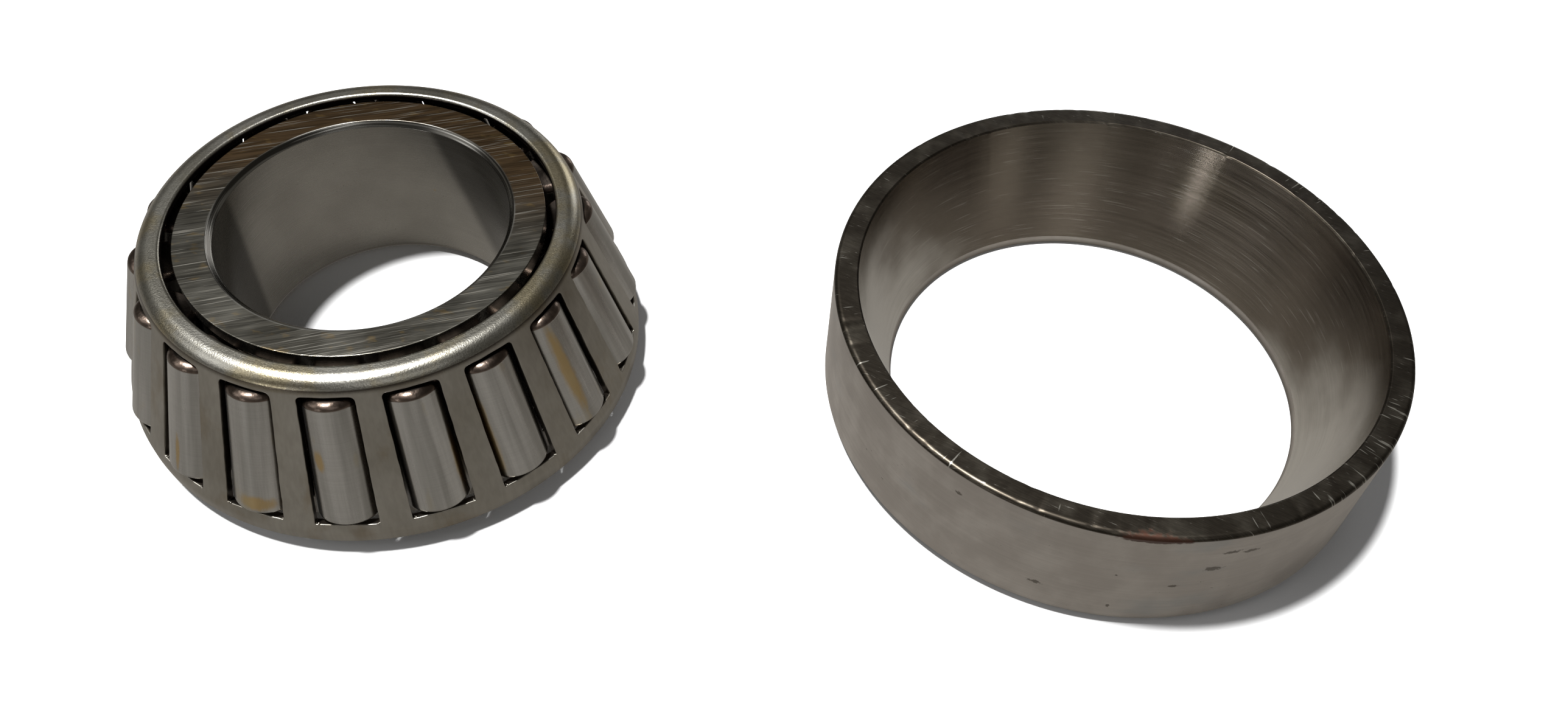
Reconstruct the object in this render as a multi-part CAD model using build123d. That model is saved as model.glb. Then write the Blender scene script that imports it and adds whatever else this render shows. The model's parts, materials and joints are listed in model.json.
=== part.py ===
"""Separable tapered roller bearing: inner ring with its caged rollers, and the loose outer ring beside it.

Millimetres, +Z up. The origin is on the inner ring's axis at its back face. The roller set stands with its
small end up, and the outer ring lies to the +X side with its wide mouth up.
"""

import os
from math import asin, cos, degrees, hypot, radians, sin, tan

from build123d import *

# Main dimensions
OUTER_DIAMETER = 68.262
BORE_DIAMETER = 33.338
BEARING_WIDTH = 22.225
INNER_RING_WIDTH = 22.225
OUTER_RING_WIDTH = 17.462
RING_SPACING = 89.1  # from the roller set's axis to the outer ring's axis

# Raceways: both race cones and every roller's axis meet at one apex on the bearing's axis
CUP_RACE_HALF_ANGLE = 18.5
CUP_RACE_SMALL_RADIUS = 25.48  # where the cup race meets the plane of the outer ring's back face

# Rollers
ROLLER_COUNT = 18
FIRST_ROLLER_ANGLE = -105.46
ROLLER_LARGE_RADIUS = 3.8
ROLLER_LENGTH = 16.2
ROLLER_OUTER_CORNER_Z = 5.2  # height of the large end's outermost edge, before it is rounded
ROLLER_LARGE_CORNER = 0.7
ROLLER_SMALL_CORNER = 0.85
ROLLER_DOME = 0.18  # crown of the small end
ROLLER_DOME_SHARE = 0.5  # share of the small end's radius where the crown is flattest
ROLLER_DOME_BLEND = 1.0
ROLLER_CLEARANCE = 0.02  # between a roller and the inner ring's race

# Cage: a pressed sheet whose cone runs parallel to the cup race
SHEET_THICKNESS = 1.05
ROLLER_PROTRUSION = 0.76  # how far the rollers stand out of the cage
WINDOW_BOTTOM_Z = 4.68
WINDOW_TOP_Z = 20.66
WINDOW_BOTTOM_WIDTH = 7.09
WINDOW_TOP_WIDTH = 6.04
WINDOW_BOTTOM_CORNER = 0.15
WINDOW_TOP_CORNER = 0.55
CAGE_LIP_Z = 22.37
CAGE_LIP_INNER_RADIUS = 22.05
CAGE_LIP_BEND = 2.0
CAGE_LIP_EDGE = 0.42
CAGE_SKIRT_Z = 3.4  # where the cone ends and the short upright skirt begins
CAGE_SKIRT_BEND = 2.0
CAGE_BOTTOM_Z = 1.9
CAGE_BOTTOM_RADIUS = 30.92
SHEET_EDGE = 0.15

# Inner ring
SMALL_RIB_RADIUS = 20.87
SMALL_RIB_WIDTH = 1.9
LARGE_RIB_RADIUS = 26.4
LARGE_RIB_GAP = 0.05  # between the large rib and the rollers' large ends
SMALL_RIB_GAP = 0.45  # between the small rib and the rollers' small ends
UNDERCUT_WIDTH = 1.0
UNDERCUT_DEPTH = 0.3
UNDERCUT_CORNER = 0.12
BORE_FRONT_CHAMFER = 0.6
BORE_BACK_CORNER = 1.5
RIB_EDGE = 0.3
FINE_EDGE = 0.1

# Outer ring
CUP_BACK_CORNER = 1.5
CUP_FRONT_CORNER = 0.6
CUP_RIM_EDGE = 0.2
CUP_BACK_EDGE_Z = 0.34  # the race's small end is broken off below this height
CUP_BACK_EDGE_WIDTH = 0.35
RACE_LAND_HEIGHT = 1.2  # unground strip at the race's small end
RACE_LAND_STEP = 0.06

race_slope = radians(CUP_RACE_HALF_ANGLE)
apex_z = BEARING_WIDTH + CUP_RACE_SMALL_RADIUS / tan(race_slope)
roller_corner_slant = (apex_z - ROLLER_OUTER_CORNER_Z) / cos(race_slope)
taper = asin(ROLLER_LARGE_RADIUS / roller_corner_slant)  # half-angle of a roller's own cone
roller_tilt = race_slope - taper  # roller axis to bearing axis
inner_race_slope = roller_tilt - taper
large_end = ROLLER_LARGE_RADIUS / tan(taper)  # distances from the apex along a roller's axis
small_end = large_end - ROLLER_LENGTH


def revolved(corners):
    """A ring from a closed outline of (radius, height, corner radius) rows."""
    points = [(radius, height) for radius, height, _ in corners]
    outline = make_face(FilletPolyline(*points, radius=[row[2] for row in corners], close=True))
    return revolve(Plane.XZ * outline, axis=Axis.Z)


def on_roller_plane(along, out):
    """(radius, height) of a point this far from the apex along a roller's axis, and this far outside the axis."""
    radius = along * sin(roller_tilt) + out * cos(roller_tilt)
    height = apex_z - along * cos(roller_tilt) + out * sin(roller_tilt)
    return radius, height


def under_roller(along, depth):
    """(radius, height) of a point this far below the line where a roller touches the inner race."""
    return on_roller_plane(along, -along * tan(taper) - depth)


def cage_radius(height):
    """Outer radius of the cage's cone at this height."""
    return (apex_z - height) * tan(race_slope) - ROLLER_PROTRUSION / cos(race_slope)


def roller_angle(index):
    return FIRST_ROLLER_ANGLE + index * 360 / ROLLER_COUNT


def make_inner_ring():
    bore = BORE_DIAMETER / 2
    groove = ROLLER_CLEARANCE + UNDERCUT_DEPTH
    rib_foot = under_roller(large_end + LARGE_RIB_GAP, groove)
    # the large rib's guiding face runs square to the rollers' axes, out to the rib's outer radius
    rib_top_z = rib_foot[1] + (LARGE_RIB_RADIUS - rib_foot[0]) * tan(roller_tilt)
    race_start = large_end - UNDERCUT_WIDTH
    race_stop = small_end + UNDERCUT_WIDTH / 2
    return revolved(
        [
            (bore, 0, BORE_BACK_CORNER),
            (LARGE_RIB_RADIUS, 0, RIB_EDGE),
            (LARGE_RIB_RADIUS, rib_top_z, RIB_EDGE),
            (*rib_foot, UNDERCUT_CORNER),
            (*under_roller(race_start, groove), UNDERCUT_CORNER),
            (*under_roller(race_start, ROLLER_CLEARANCE), 0),
            (*under_roller(race_stop, ROLLER_CLEARANCE), 0),
            (*under_roller(race_stop, groove), UNDERCUT_CORNER),
            (*under_roller(small_end - SMALL_RIB_GAP, groove), UNDERCUT_CORNER),
            (SMALL_RIB_RADIUS, INNER_RING_WIDTH - SMALL_RIB_WIDTH, FINE_EDGE),
            (SMALL_RIB_RADIUS, INNER_RING_WIDTH, FINE_EDGE),
            (bore + BORE_FRONT_CHAMFER, INNER_RING_WIDTH, FINE_EDGE),
            (bore, INNER_RING_WIDTH - BORE_FRONT_CHAMFER, FINE_EDGE),
        ]
    )


def make_outer_ring():
    outside = OUTER_DIAMETER / 2
    slope = tan(race_slope)
    mouth_edge_z = OUTER_RING_WIDTH - CUP_RIM_EDGE
    mouth = CUP_RACE_SMALL_RADIUS + mouth_edge_z * slope
    land_top = CUP_RACE_SMALL_RADIUS + RACE_LAND_HEIGHT * slope
    land_bottom = CUP_RACE_SMALL_RADIUS + CUP_BACK_EDGE_Z * slope + RACE_LAND_STEP
    ring = revolved(
        [
            (land_bottom + CUP_BACK_EDGE_WIDTH, 0, FINE_EDGE),
            (outside, 0, CUP_BACK_CORNER),
            (outside, OUTER_RING_WIDTH, CUP_FRONT_CORNER),
            (mouth + CUP_RIM_EDGE, OUTER_RING_WIDTH, FINE_EDGE),
            (mouth, mouth_edge_z, FINE_EDGE),
            (land_top, RACE_LAND_HEIGHT, 0),
            (land_top + RACE_LAND_STEP, RACE_LAND_HEIGHT - RACE_LAND_STEP, 0),
            (land_bottom, CUP_BACK_EDGE_Z, FINE_EDGE),
        ]
    )
    return Pos(RING_SPACING, 0, 0) * ring


def make_roller():
    """A roller standing on its large end with its axis on Z, and a slightly crowned small end."""
    small_radius = ROLLER_LARGE_RADIUS - ROLLER_LENGTH * tan(taper)
    crown_edge_z = ROLLER_LENGTH - ROLLER_DOME
    crown_flat_z = ROLLER_LENGTH - ROLLER_DOME * ROLLER_DOME_SHARE**2
    return revolved(
        [
            (0, 0, 0),
            (ROLLER_LARGE_RADIUS, 0, ROLLER_LARGE_CORNER),
            (small_radius, crown_edge_z, ROLLER_SMALL_CORNER),
            (small_radius * ROLLER_DOME_SHARE, crown_flat_z, ROLLER_DOME_BLEND),
            (0, ROLLER_LENGTH, 0),
        ]
    )


def place_roller(roller, index):
    """Tilts a standing roller onto the inner race and turns it to its place round the bearing."""
    foot_radius, foot_height = on_roller_plane(large_end, 0)
    tilted = Pos(foot_radius, 0, foot_height) * Rot(0, -degrees(roller_tilt), 0) * roller
    return Rot(0, 0, roller_angle(index)) * tilted


def make_window():
    """The tool that cuts one roller window, in the place of a roller at angle zero."""
    low_radius, high_radius = cage_radius(WINDOW_BOTTOM_Z), cage_radius(WINDOW_TOP_Z)
    length = hypot(high_radius - low_radius, WINDOW_TOP_Z - WINDOW_BOTTOM_Z)
    low, high = WINDOW_BOTTOM_WIDTH / 2, WINDOW_TOP_WIDTH / 2
    corners = [(-low, 0), (low, 0), (high, length), (-high, length)]
    radii = [WINDOW_BOTTOM_CORNER] * 2 + [WINDOW_TOP_CORNER] * 2
    outline = make_face(FilletPolyline(*corners, radius=radii, close=True))
    outward = (cos(race_slope), 0, sin(race_slope))
    sheet = Plane(origin=(low_radius, 0, WINDOW_BOTTOM_Z), x_dir=(0, 1, 0), z_dir=outward)
    return extrude(sheet * outline, amount=2 * SHEET_THICKNESS, both=True)


def make_cage():
    across = SHEET_THICKNESS / cos(race_slope)
    underside = CAGE_LIP_Z - SHEET_THICKNESS
    cage = revolved(
        [
            (CAGE_BOTTOM_RADIUS, CAGE_BOTTOM_Z, SHEET_EDGE),
            (cage_radius(CAGE_SKIRT_Z), CAGE_SKIRT_Z, CAGE_SKIRT_BEND),
            (cage_radius(CAGE_LIP_Z), CAGE_LIP_Z, CAGE_LIP_BEND),
            (CAGE_LIP_INNER_RADIUS, CAGE_LIP_Z, CAGE_LIP_EDGE),
            (CAGE_LIP_INNER_RADIUS, underside, CAGE_LIP_EDGE),
            (cage_radius(underside) - across, underside, CAGE_LIP_BEND - SHEET_THICKNESS),
            (cage_radius(CAGE_SKIRT_Z) - across, CAGE_SKIRT_Z, CAGE_SKIRT_BEND - SHEET_THICKNESS),
            (CAGE_BOTTOM_RADIUS - SHEET_THICKNESS, CAGE_BOTTOM_Z, SHEET_EDGE),
        ]
    )
    window = make_window()
    for index in range(ROLLER_COUNT):
        cage -= Rot(0, 0, roller_angle(index)) * window
    return cage


os.makedirs("parts", exist_ok=True)
export_step(make_inner_ring(), "parts/inner_ring.step")
export_step(make_outer_ring(), "parts/outer_ring.step")
export_step(make_cage(), "parts/cage.step")
standing_roller = make_roller()
for index in range(ROLLER_COUNT):
    export_step(place_roller(standing_roller, index), f"parts/roller_{index + 1:02d}.step")

print("roller axis tilt", round(degrees(roller_tilt), 4), "roller half-angle", round(degrees(taper), 4))
print("inner race half-angle", round(degrees(inner_race_slope), 4), "apex height", round(apex_z, 4))
print("roller turns per cage turn", round(sin(inner_race_slope) / sin(taper), 4))
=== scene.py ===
"""Looks of a separable tapered roller bearing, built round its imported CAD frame.

Lengths are in millimetres in the row frame until mesh_object turns them into metres.
"""

import json
import math
import random

import bmesh
import bpy
from mathutils import Matrix, Vector, noise


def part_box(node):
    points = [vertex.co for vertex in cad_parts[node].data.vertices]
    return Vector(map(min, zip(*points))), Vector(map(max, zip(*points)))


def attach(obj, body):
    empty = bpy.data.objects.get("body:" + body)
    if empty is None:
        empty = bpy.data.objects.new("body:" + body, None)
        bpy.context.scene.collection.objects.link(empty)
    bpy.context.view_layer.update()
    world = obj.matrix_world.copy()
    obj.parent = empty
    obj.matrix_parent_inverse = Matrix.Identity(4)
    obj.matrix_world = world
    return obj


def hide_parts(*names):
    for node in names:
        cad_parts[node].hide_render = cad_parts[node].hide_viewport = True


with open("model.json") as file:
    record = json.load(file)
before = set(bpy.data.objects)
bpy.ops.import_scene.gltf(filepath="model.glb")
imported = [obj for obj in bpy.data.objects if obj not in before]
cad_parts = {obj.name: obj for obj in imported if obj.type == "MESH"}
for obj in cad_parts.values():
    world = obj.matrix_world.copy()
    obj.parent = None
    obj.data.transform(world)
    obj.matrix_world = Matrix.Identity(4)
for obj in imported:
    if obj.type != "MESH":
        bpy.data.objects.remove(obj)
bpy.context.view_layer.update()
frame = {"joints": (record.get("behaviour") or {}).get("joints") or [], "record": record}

MM = 0.001
mounts = {mount["name"]: mount for mount in frame["record"]["mounts"]}
joints = {joint["name"]: joint for joint in frame["joints"]}

# Sizes shared with the CAD frame
BORE_RADIUS = mounts["shaft_bore"]["dims"]["r_mm"]
CUP_RADIUS = mounts["housing_diameter"]["dims"]["r_mm"]
CUP_X = mounts["housing_diameter"]["pos_m"][0] / MM
CONE_WIDTH = mounts["inner_ring_front_face"]["pos_m"][2] / MM
CUP_WIDTH = (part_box("outer_ring")[1].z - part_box("outer_ring")[0].z) / MM
RACE_SLOPE = math.radians(18.5)
CUP_RACE_SMALL_RADIUS = 25.48  # where the cup race meets the plane of the outer ring's back face
APEX_Z = CONE_WIDTH + CUP_RACE_SMALL_RADIUS / math.tan(RACE_SLOPE)  # where all the cones meet

# Rollers
ROLLER_COUNT = len(joints) - 2  # all joints but the cage's and the outer ring's are rollers'
FIRST_ANGLE = -105.46
ROLLER_PITCH = 360 / ROLLER_COUNT
ROLLER_RADIUS = 3.8
ROLLER_LENGTH = 16.2
ROLLER_OUTER_CORNER_Z = 5.2
ROLLER_LARGE_CORNER = 0.7
ROLLER_SMALL_CORNER = 0.85
ROLLER_DOME = 0.18
ROLLER_DOME_BLEND = 1.0

# Cage
SHEET = 1.05
ROLLER_PROTRUSION = 0.76  # how far the rollers stand out of the cage
ACROSS = SHEET / math.cos(RACE_SLOPE)  # the sheet's thickness measured level
WINDOW_LOW_Z = 4.68
WINDOW_HIGH_Z = 20.66
WINDOW_LOW_HALF = 3.545
WINDOW_HIGH_HALF = 3.02
WINDOW_LOW_CORNER = 0.15
WINDOW_HIGH_CORNER = 0.55
CAGE_LIP_Z = 22.37
CAGE_LIP_INNER_RADIUS = 22.05
CAGE_LIP_EDGE = 0.42
CAGE_BEND = 2.0
CAGE_SKIRT_Z = 3.4
CAGE_BOTTOM_Z = 1.9
CAGE_BOTTOM_RADIUS = 30.92
CAGE_EDGE = 0.15
RAGGED_EDGE = 0.05  # how far a punched edge wanders

# Inner ring
SMALL_RIB_RADIUS = 20.87
SMALL_RIB_WIDTH = 1.9
LARGE_RIB_RADIUS = 26.4
LARGE_RIB_GAP = 0.05
SMALL_RIB_GAP = 0.45
ROLLER_CLEARANCE = 0.02
GROOVE_DEPTH = 0.32
GROOVE_CORNER = 0.12
LARGE_GROOVE_WIDTH = 1.0
SMALL_GROOVE_WIDTH = 0.5
BORE_CHAMFER = 0.6
RIB_EDGE = 0.3

# Outer ring
CUP_RIM_CHAMFER = 0.2
CUP_FRONT_CORNER = 0.6
CUP_BACK_EDGE_Z = 0.34
CUP_BACK_EDGE_WIDTH = 0.35
LAND_HEIGHT = 1.2  # unground strip at the race's small end
LAND_STEP = 0.06
NICK_ZONE = 0.9  # height below the outer ring's rim that its knocks reach

# Both rings
BACK_CORNER = 1.5
FINE_EDGE = 0.1

# Fineness of the meshes
RING_STEPS = 720
ROLLER_STEPS = 96
ARC_STEPS = 6
SIDE_STEPS = 26
END_STEPS = 12
CORNER_STEPS = 4
SUPPORT = 0.05  # distance of the edge loops that keep flats flat beside a rounded corner
WELD_DISTANCE = 0.002
UV_LENGTH = 50  # of outline that V covers from 0 to 1


# ---------------------------------------------------------------- meshes

def mesh_object(name, points, faces, uvs=None):
    """A smooth-shaded mesh object from points in millimetres, with one UV for each face corner."""
    mesh = bpy.data.meshes.new(name)
    mesh.from_pydata([Vector(p) * MM for p in points], [], faces)
    if uvs:
        layer = mesh.uv_layers.new(name="UVMap")
        layer.data.foreach_set("uv", [value for corner in uvs for value in corner])
    mesh.polygons.foreach_set("use_smooth", [True] * len(mesh.polygons))
    mesh.update()
    piece = bpy.data.objects.new(name, mesh)
    bpy.context.scene.collection.objects.link(piece)
    return piece


def arc_points(before, corner, after, radius):
    """The corner replaced by an arc of this radius, with a supporting point on each side of it."""
    corner = Vector(corner)
    back, ahead = Vector(before) - corner, Vector(after) - corner
    u, v = back.normalized(), ahead.normalized()
    half = math.acos(max(-1, min(1, u.dot(v)))) / 2
    reach = radius / math.tan(half)
    start, end = corner + u * reach, corner + v * reach
    centre = corner + (u + v).normalized() * (radius / math.sin(half))
    sweep = math.pi - 2 * half
    steps = max(2, round(ARC_STEPS * sweep / (math.pi / 2) * (1 + radius / 2)))
    side = (start - centre).normalized()
    turn = (end - centre).normalized()
    points = []
    if back.length - reach > 2 * SUPPORT:
        points.append(start + u * SUPPORT)
    for step in range(steps + 1):
        t = step / steps
        weight_a = math.sin((1 - t) * sweep) / math.sin(sweep)
        weight_b = math.sin(t * sweep) / math.sin(sweep)
        points.append(centre + (side * weight_a + turn * weight_b) * radius)
    if ahead.length - reach > 2 * SUPPORT:
        points.append(end + v * SUPPORT)
    return points


def rounded(corners, closed=True):
    """(radius, height) points of an outline given as (radius, height, corner radius) rows."""
    count = len(corners)
    points = []
    for index, (radius, height, corner_radius) in enumerate(corners):
        is_end = not closed and index in (0, count - 1)
        if corner_radius == 0 or is_end:
            points.append(Vector((radius, height)))
            continue
        before = corners[index - 1][:2]
        after = corners[(index + 1) % count][:2]
        points += arc_points(before, (radius, height), after, corner_radius)
    return points


def lathe(name, outline, steps, centre=(0, 0), closed=True):
    """A solid of revolution of (radius, height) points about the vertical line through centre."""
    points, faces, uvs = [], [], []
    lengths = [0.0]
    ring_count = len(outline)
    for index in range(ring_count):
        following = outline[(index + 1) % ring_count]
        lengths.append(lengths[-1] + (Vector(following) - Vector(outline[index])).length)
    for radius, height in outline:
        for step in range(steps):
            angle = 2 * math.pi * step / steps
            x = centre[0] + radius * math.cos(angle)
            y = centre[1] + radius * math.sin(angle)
            points.append((x, y, height))
    spans = ring_count if closed else ring_count - 1
    for ring in range(spans):
        here = ring * steps
        there = (ring + 1) % ring_count * steps
        v0, v1 = lengths[ring] / UV_LENGTH, lengths[ring + 1] / UV_LENGTH
        for step in range(steps):
            after = (step + 1) % steps
            faces.append((here + step, here + after, there + after, there + step))
            u0, u1 = step / steps, (step + 1) / steps
            uvs += [(u0, v0), (u1, v0), (u1, v1), (u0, v1)]
    return mesh_object(name, points, faces, uvs)


# ---------------------------------------------------------------- pieces

CORNER_SLANT = (APEX_Z - ROLLER_OUTER_CORNER_Z) / math.cos(RACE_SLOPE)
TAPER = math.asin(ROLLER_RADIUS / CORNER_SLANT)  # half-angle of a roller's own cone
TILT = RACE_SLOPE - TAPER  # from the bearing's axis to a roller's
LARGE_END = ROLLER_RADIUS / math.tan(TAPER)  # distances from the apex along a roller's axis
SMALL_END = LARGE_END - ROLLER_LENGTH


def on_roller_plane(along, out):
    """(radius, height) this far from the apex along a roller's axis, and this far outside it."""
    radius = along * math.sin(TILT) + out * math.cos(TILT)
    height = APEX_Z - along * math.cos(TILT) + out * math.sin(TILT)
    return radius, height


def under_roller(along, depth):
    """(radius, height) this far below the line where a roller touches the inner race."""
    return on_roller_plane(along, -along * math.tan(TAPER) - depth)


def make_inner_ring():
    race_low, race_high = LARGE_END - LARGE_GROOVE_WIDTH, SMALL_END + SMALL_GROOVE_WIDTH
    foot = under_roller(LARGE_END + LARGE_RIB_GAP, GROOVE_DEPTH)
    rib_top = foot[1] + (LARGE_RIB_RADIUS - foot[0]) * math.tan(TILT)
    corners = [
        (BORE_RADIUS, 0, BACK_CORNER),
        (LARGE_RIB_RADIUS, 0, RIB_EDGE),
        (LARGE_RIB_RADIUS, rib_top, RIB_EDGE),
        (*foot, GROOVE_CORNER),
        (*under_roller(race_low, GROOVE_DEPTH), GROOVE_CORNER),
        (*under_roller(race_low, ROLLER_CLEARANCE), FINE_EDGE / 2),
        (*under_roller(race_high, ROLLER_CLEARANCE), FINE_EDGE / 2),
        (*under_roller(race_high, GROOVE_DEPTH), GROOVE_CORNER),
        (*under_roller(SMALL_END - SMALL_RIB_GAP, GROOVE_DEPTH), GROOVE_CORNER),
        (SMALL_RIB_RADIUS, CONE_WIDTH - SMALL_RIB_WIDTH, FINE_EDGE),
        (SMALL_RIB_RADIUS, CONE_WIDTH, FINE_EDGE),
        (BORE_RADIUS + BORE_CHAMFER, CONE_WIDTH, FINE_EDGE),
        (BORE_RADIUS, CONE_WIDTH - BORE_CHAMFER, FINE_EDGE),
    ]
    return lathe("inner_ring_piece", rounded(corners), RING_STEPS // 2)


def cup_mouth_radius(height):
    """Inner radius of the outer ring as it lies, where the race is this high."""
    return CUP_RACE_SMALL_RADIUS + height * math.tan(RACE_SLOPE)


def make_outer_ring():
    slope = math.tan(RACE_SLOPE)
    mouth = cup_mouth_radius(CUP_WIDTH - CUP_RIM_CHAMFER)
    land_top = CUP_RACE_SMALL_RADIUS + LAND_HEIGHT * slope
    land_bottom = CUP_RACE_SMALL_RADIUS + CUP_BACK_EDGE_Z * slope + LAND_STEP
    corners = [
        (land_bottom + CUP_BACK_EDGE_WIDTH, 0, FINE_EDGE),
        (CUP_RADIUS, 0, BACK_CORNER),
        (CUP_RADIUS, CUP_WIDTH - NICK_ZONE, 0),
        (CUP_RADIUS, CUP_WIDTH, CUP_FRONT_CORNER),
        (mouth + CUP_RIM_CHAMFER, CUP_WIDTH, FINE_EDGE),
        (mouth, CUP_WIDTH - CUP_RIM_CHAMFER, FINE_EDGE),
        (cup_mouth_radius(CUP_WIDTH - NICK_ZONE), CUP_WIDTH - NICK_ZONE, 0),
        (land_top, LAND_HEIGHT, FINE_EDGE / 5),
        (land_top + LAND_STEP, LAND_HEIGHT - LAND_STEP, FINE_EDGE / 5),
        (land_bottom, CUP_BACK_EDGE_Z, FINE_EDGE),
    ]
    piece = lathe("outer_ring_piece", rounded(corners), RING_STEPS, centre=(CUP_X, 0))
    nick_rim(piece, mouth + CUP_RIM_CHAMFER)
    return piece


def nick_rim(piece, inner_radius, count=70):
    """Small knocks along the rim's two edges, pressed a little into the metal."""
    chance = random.Random(3)
    nicks = []
    for _ in range(count):
        angle = chance.uniform(0, 2 * math.pi)
        radius = chance.choice((inner_radius, CUP_RADIUS - 0.45, CUP_RADIUS - 0.2))
        middle = Vector((CUP_X + radius * math.cos(angle), radius * math.sin(angle), CUP_WIDTH - 0.1))
        nicks.append((middle, chance.uniform(0.35, 0.7), chance.uniform(0.03, 0.09)))
    for vertex in piece.data.vertices:
        place = vertex.co / MM
        if place.z < CUP_WIDTH - NICK_ZONE + SUPPORT:
            continue
        for middle, reach, depth in nicks:
            near = 1 - (place - middle).length / reach
            if near > 0:
                place.z -= depth * near
        vertex.co = place * MM


def make_roller(index):
    """One tapered roller, turned on its own axis and then set in its place on the inner race."""
    small = ROLLER_RADIUS - ROLLER_LENGTH * math.tan(TAPER)
    corners = [
        (0, 0, 0),
        (ROLLER_RADIUS, 0, ROLLER_LARGE_CORNER),
        (small, ROLLER_LENGTH - ROLLER_DOME, ROLLER_SMALL_CORNER),
        (small / 2, ROLLER_LENGTH - ROLLER_DOME / 4, ROLLER_DOME_BLEND),
        (0, ROLLER_LENGTH, 0),
    ]
    name = f"roller_{index + 1:02d}"
    piece = lathe(name + "_piece", rounded(corners, closed=False), ROLLER_STEPS, closed=False)

    # The material reads where each point was before it was set in place, and which roller it is on
    standing = piece.data.attributes.new("standing", "FLOAT_VECTOR", "POINT")
    coords = [value for vertex in piece.data.vertices for value in vertex.co]
    standing.data.foreach_set("vector", coords)
    seed = piece.data.attributes.new("seed", "FLOAT", "POINT")
    seed.data.foreach_set("value", [float(index)] * len(piece.data.vertices))

    move = Matrix.Translation(joints[name + "_spin"]["pos_m"])
    turn = Matrix.Rotation(math.radians(FIRST_ANGLE + index * ROLLER_PITCH), 4, "Z")
    tilt = Matrix.Rotation(-TILT, 4, "Y")
    piece.data.transform(move @ turn @ tilt)
    return piece


def cage_radius(height):
    """Outer radius of the cage's cone."""
    return (APEX_Z - height) * math.tan(RACE_SLOPE) - ROLLER_PROTRUSION / math.cos(RACE_SLOPE)


def corner_arc(before, corner, after, radius):
    """Evenly spaced points along the arc that rounds one corner of a window."""
    corner = Vector(corner)
    u = (Vector(before) - corner).normalized()
    v = (Vector(after) - corner).normalized()
    half = math.acos(u.dot(v)) / 2
    sweep = math.pi - 2 * half
    centre = corner + (u + v).normalized() * (radius / math.sin(half))
    start = corner + u * (radius / math.tan(half)) - centre
    end = corner + v * (radius / math.tan(half)) - centre
    arc = []
    for step in range(CORNER_STEPS + 1):
        t = step / CORNER_STEPS
        mix = start * math.sin((1 - t) * sweep) + end * math.sin(t * sweep)
        arc.append(centre + mix / math.sin(sweep))
    return arc


def window_loop(grow):
    """Points (across, along) round one window in the plane of the sheet, enlarged by grow all round."""
    length = (WINDOW_HIGH_Z - WINDOW_LOW_Z) / math.cos(RACE_SLOPE)
    low, high = WINDOW_LOW_HALF + grow, WINDOW_HIGH_HALF + grow
    corners = [(low, -grow), (high, length + grow), (-high, length + grow), (-low, -grow)]
    radii = [WINDOW_LOW_CORNER, WINDOW_HIGH_CORNER, WINDOW_HIGH_CORNER, WINDOW_LOW_CORNER]
    arcs = []
    for index, radius in enumerate(radii):
        before, corner, after = corners[index - 1], corners[index], corners[(index + 1) % 4]
        arcs.append(corner_arc(before, corner, after, radius + grow))
    loop = []
    half_arc = CORNER_STEPS // 2
    for index in range(4):
        steps = SIDE_STEPS if index % 2 == 0 else END_STEPS
        here, there = arcs[index], arcs[(index + 1) % 4]
        loop += here[half_arc:-1]
        loop += [here[-1].lerp(there[0], step / steps) for step in range(steps)]
        loop += there[:half_arc]
    return loop


def frame_loop(low, high):
    """(angle, height) points round the sector of sheet that holds one window, matched to window_loop."""
    half_pitch = math.radians(ROLLER_PITCH / 2)
    sides, ends = SIDE_STEPS + CORNER_STEPS, END_STEPS + CORNER_STEPS
    loop = [(half_pitch, low + (high - low) * step / sides) for step in range(sides)]
    loop += [(half_pitch * (1 - 2 * step / ends), high) for step in range(ends)]
    loop += [(-half_pitch, high + (low - high) * step / sides) for step in range(sides)]
    loop += [(half_pitch * (2 * step / ends - 1), low) for step in range(ends)]
    return loop


def on_sheet(across, along, inward):
    """The point of the cone this far inside the sheet that lies straight behind one of a window's plane."""
    sine, cosine = math.sin(RACE_SLOPE), math.cos(RACE_SLOPE)
    behind = 0.0
    for _ in range(8):
        x = cage_radius(WINDOW_LOW_Z) - along * sine + behind * cosine
        z = WINDOW_LOW_Z + along * cosine + behind * sine
        behind -= (math.hypot(x, across) - cage_radius(z) + inward / cosine) * cosine
    return Vector((x, across, z))


def window_ring(grow, inward):
    return [on_sheet(point.x, point.y, inward) for point in window_loop(grow)]


def frame_ring(low, high, inward):
    ring = []
    for angle, height in frame_loop(low, high):
        radius = cage_radius(height) - inward / math.cos(RACE_SLOPE)
        ring.append(Vector((radius * math.cos(angle), radius * math.sin(angle), height)))
    return ring


def ring_between(first, second, share, inward):
    """A ring partway between two rings, pushed back onto the cone."""
    ring = []
    for a, b in zip(first, second):
        point = a.lerp(b, share)
        radius = cage_radius(point.z) - inward / math.cos(RACE_SLOPE)
        scale = radius / math.hypot(point.x, point.y)
        ring.append(Vector((point.x * scale, point.y * scale, point.z)))
    return ring


# The windows' part of the sheet ends at these heights, outside and inside, where lip and foot take over
OUTER_LOW_Z, OUTER_HIGH_Z = 4.05, 20.92
INNER_LOW_Z, INNER_HIGH_Z = 3.9, 20.5


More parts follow.
